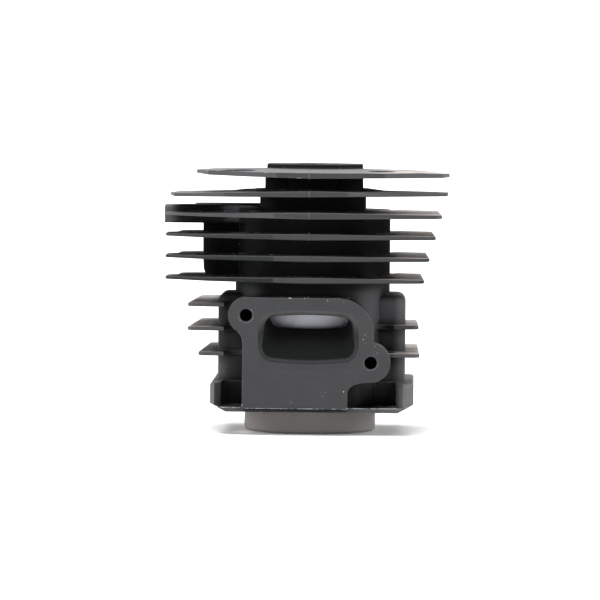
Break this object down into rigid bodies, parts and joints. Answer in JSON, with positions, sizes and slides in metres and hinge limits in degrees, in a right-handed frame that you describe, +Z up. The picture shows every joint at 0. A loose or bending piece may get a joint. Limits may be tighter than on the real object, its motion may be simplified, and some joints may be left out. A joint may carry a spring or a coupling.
{
  "type": "two-stroke engine cylinder",
  "caption": "Air-cooled two-stroke cylinder with integral finned head, flanged exhaust and intake ports, plated bore, and its sliding piston with rings, gudgeon pin and clips.",
  "frame": {"origin": "on the bore axis, in the plane of the crankcase gasket face", "axes": "+Z up the bore towards the spark plug, -Y towards the exhaust flange, +Y towards the intake flange, +X to the right seen from the exhaust side"},
  "size_m": [0.1229, 0.0903, 0.1159],
  "materials": {
    "casting": "die-cast, dark grey heat-resistant coat, semi-gloss, worn to bare metal at edges",
    "bore_layer": "hard nickel bore layer, cross-hatch honed",
    "piston": "fine-turned skirt, plain crown",
    "ring": "phosphated sides, ground face",
    "steel": "ground"
  },
  "bodies": {
    "cylinder": {"cylinder_casting": "casting", "bore_plating": "bore_layer"},
    "piston": {"piston": "piston", "ring_top": "ring", "ring_second": "ring", "ring_pin_top": "steel", "ring_pin_second": "steel", "circlip_left": "steel", "circlip_right": "steel"},
    "gudgeon_pin": {"gudgeon_pin": "steel"}
  },
  "joints": [
    {"name": "piston_slide", "type": "slide", "parent": "cylinder", "child": "piston", "axis": [0, 0, 1], "range_m": [-0.034, 0]},
    {"name": "gudgeon_spin", "type": "hinge", "parent": "piston", "child": "gudgeon_pin", "pos_m": [0, 0, 0.048], "axis": [1, 0, 0], "continuous": true}
  ]
}
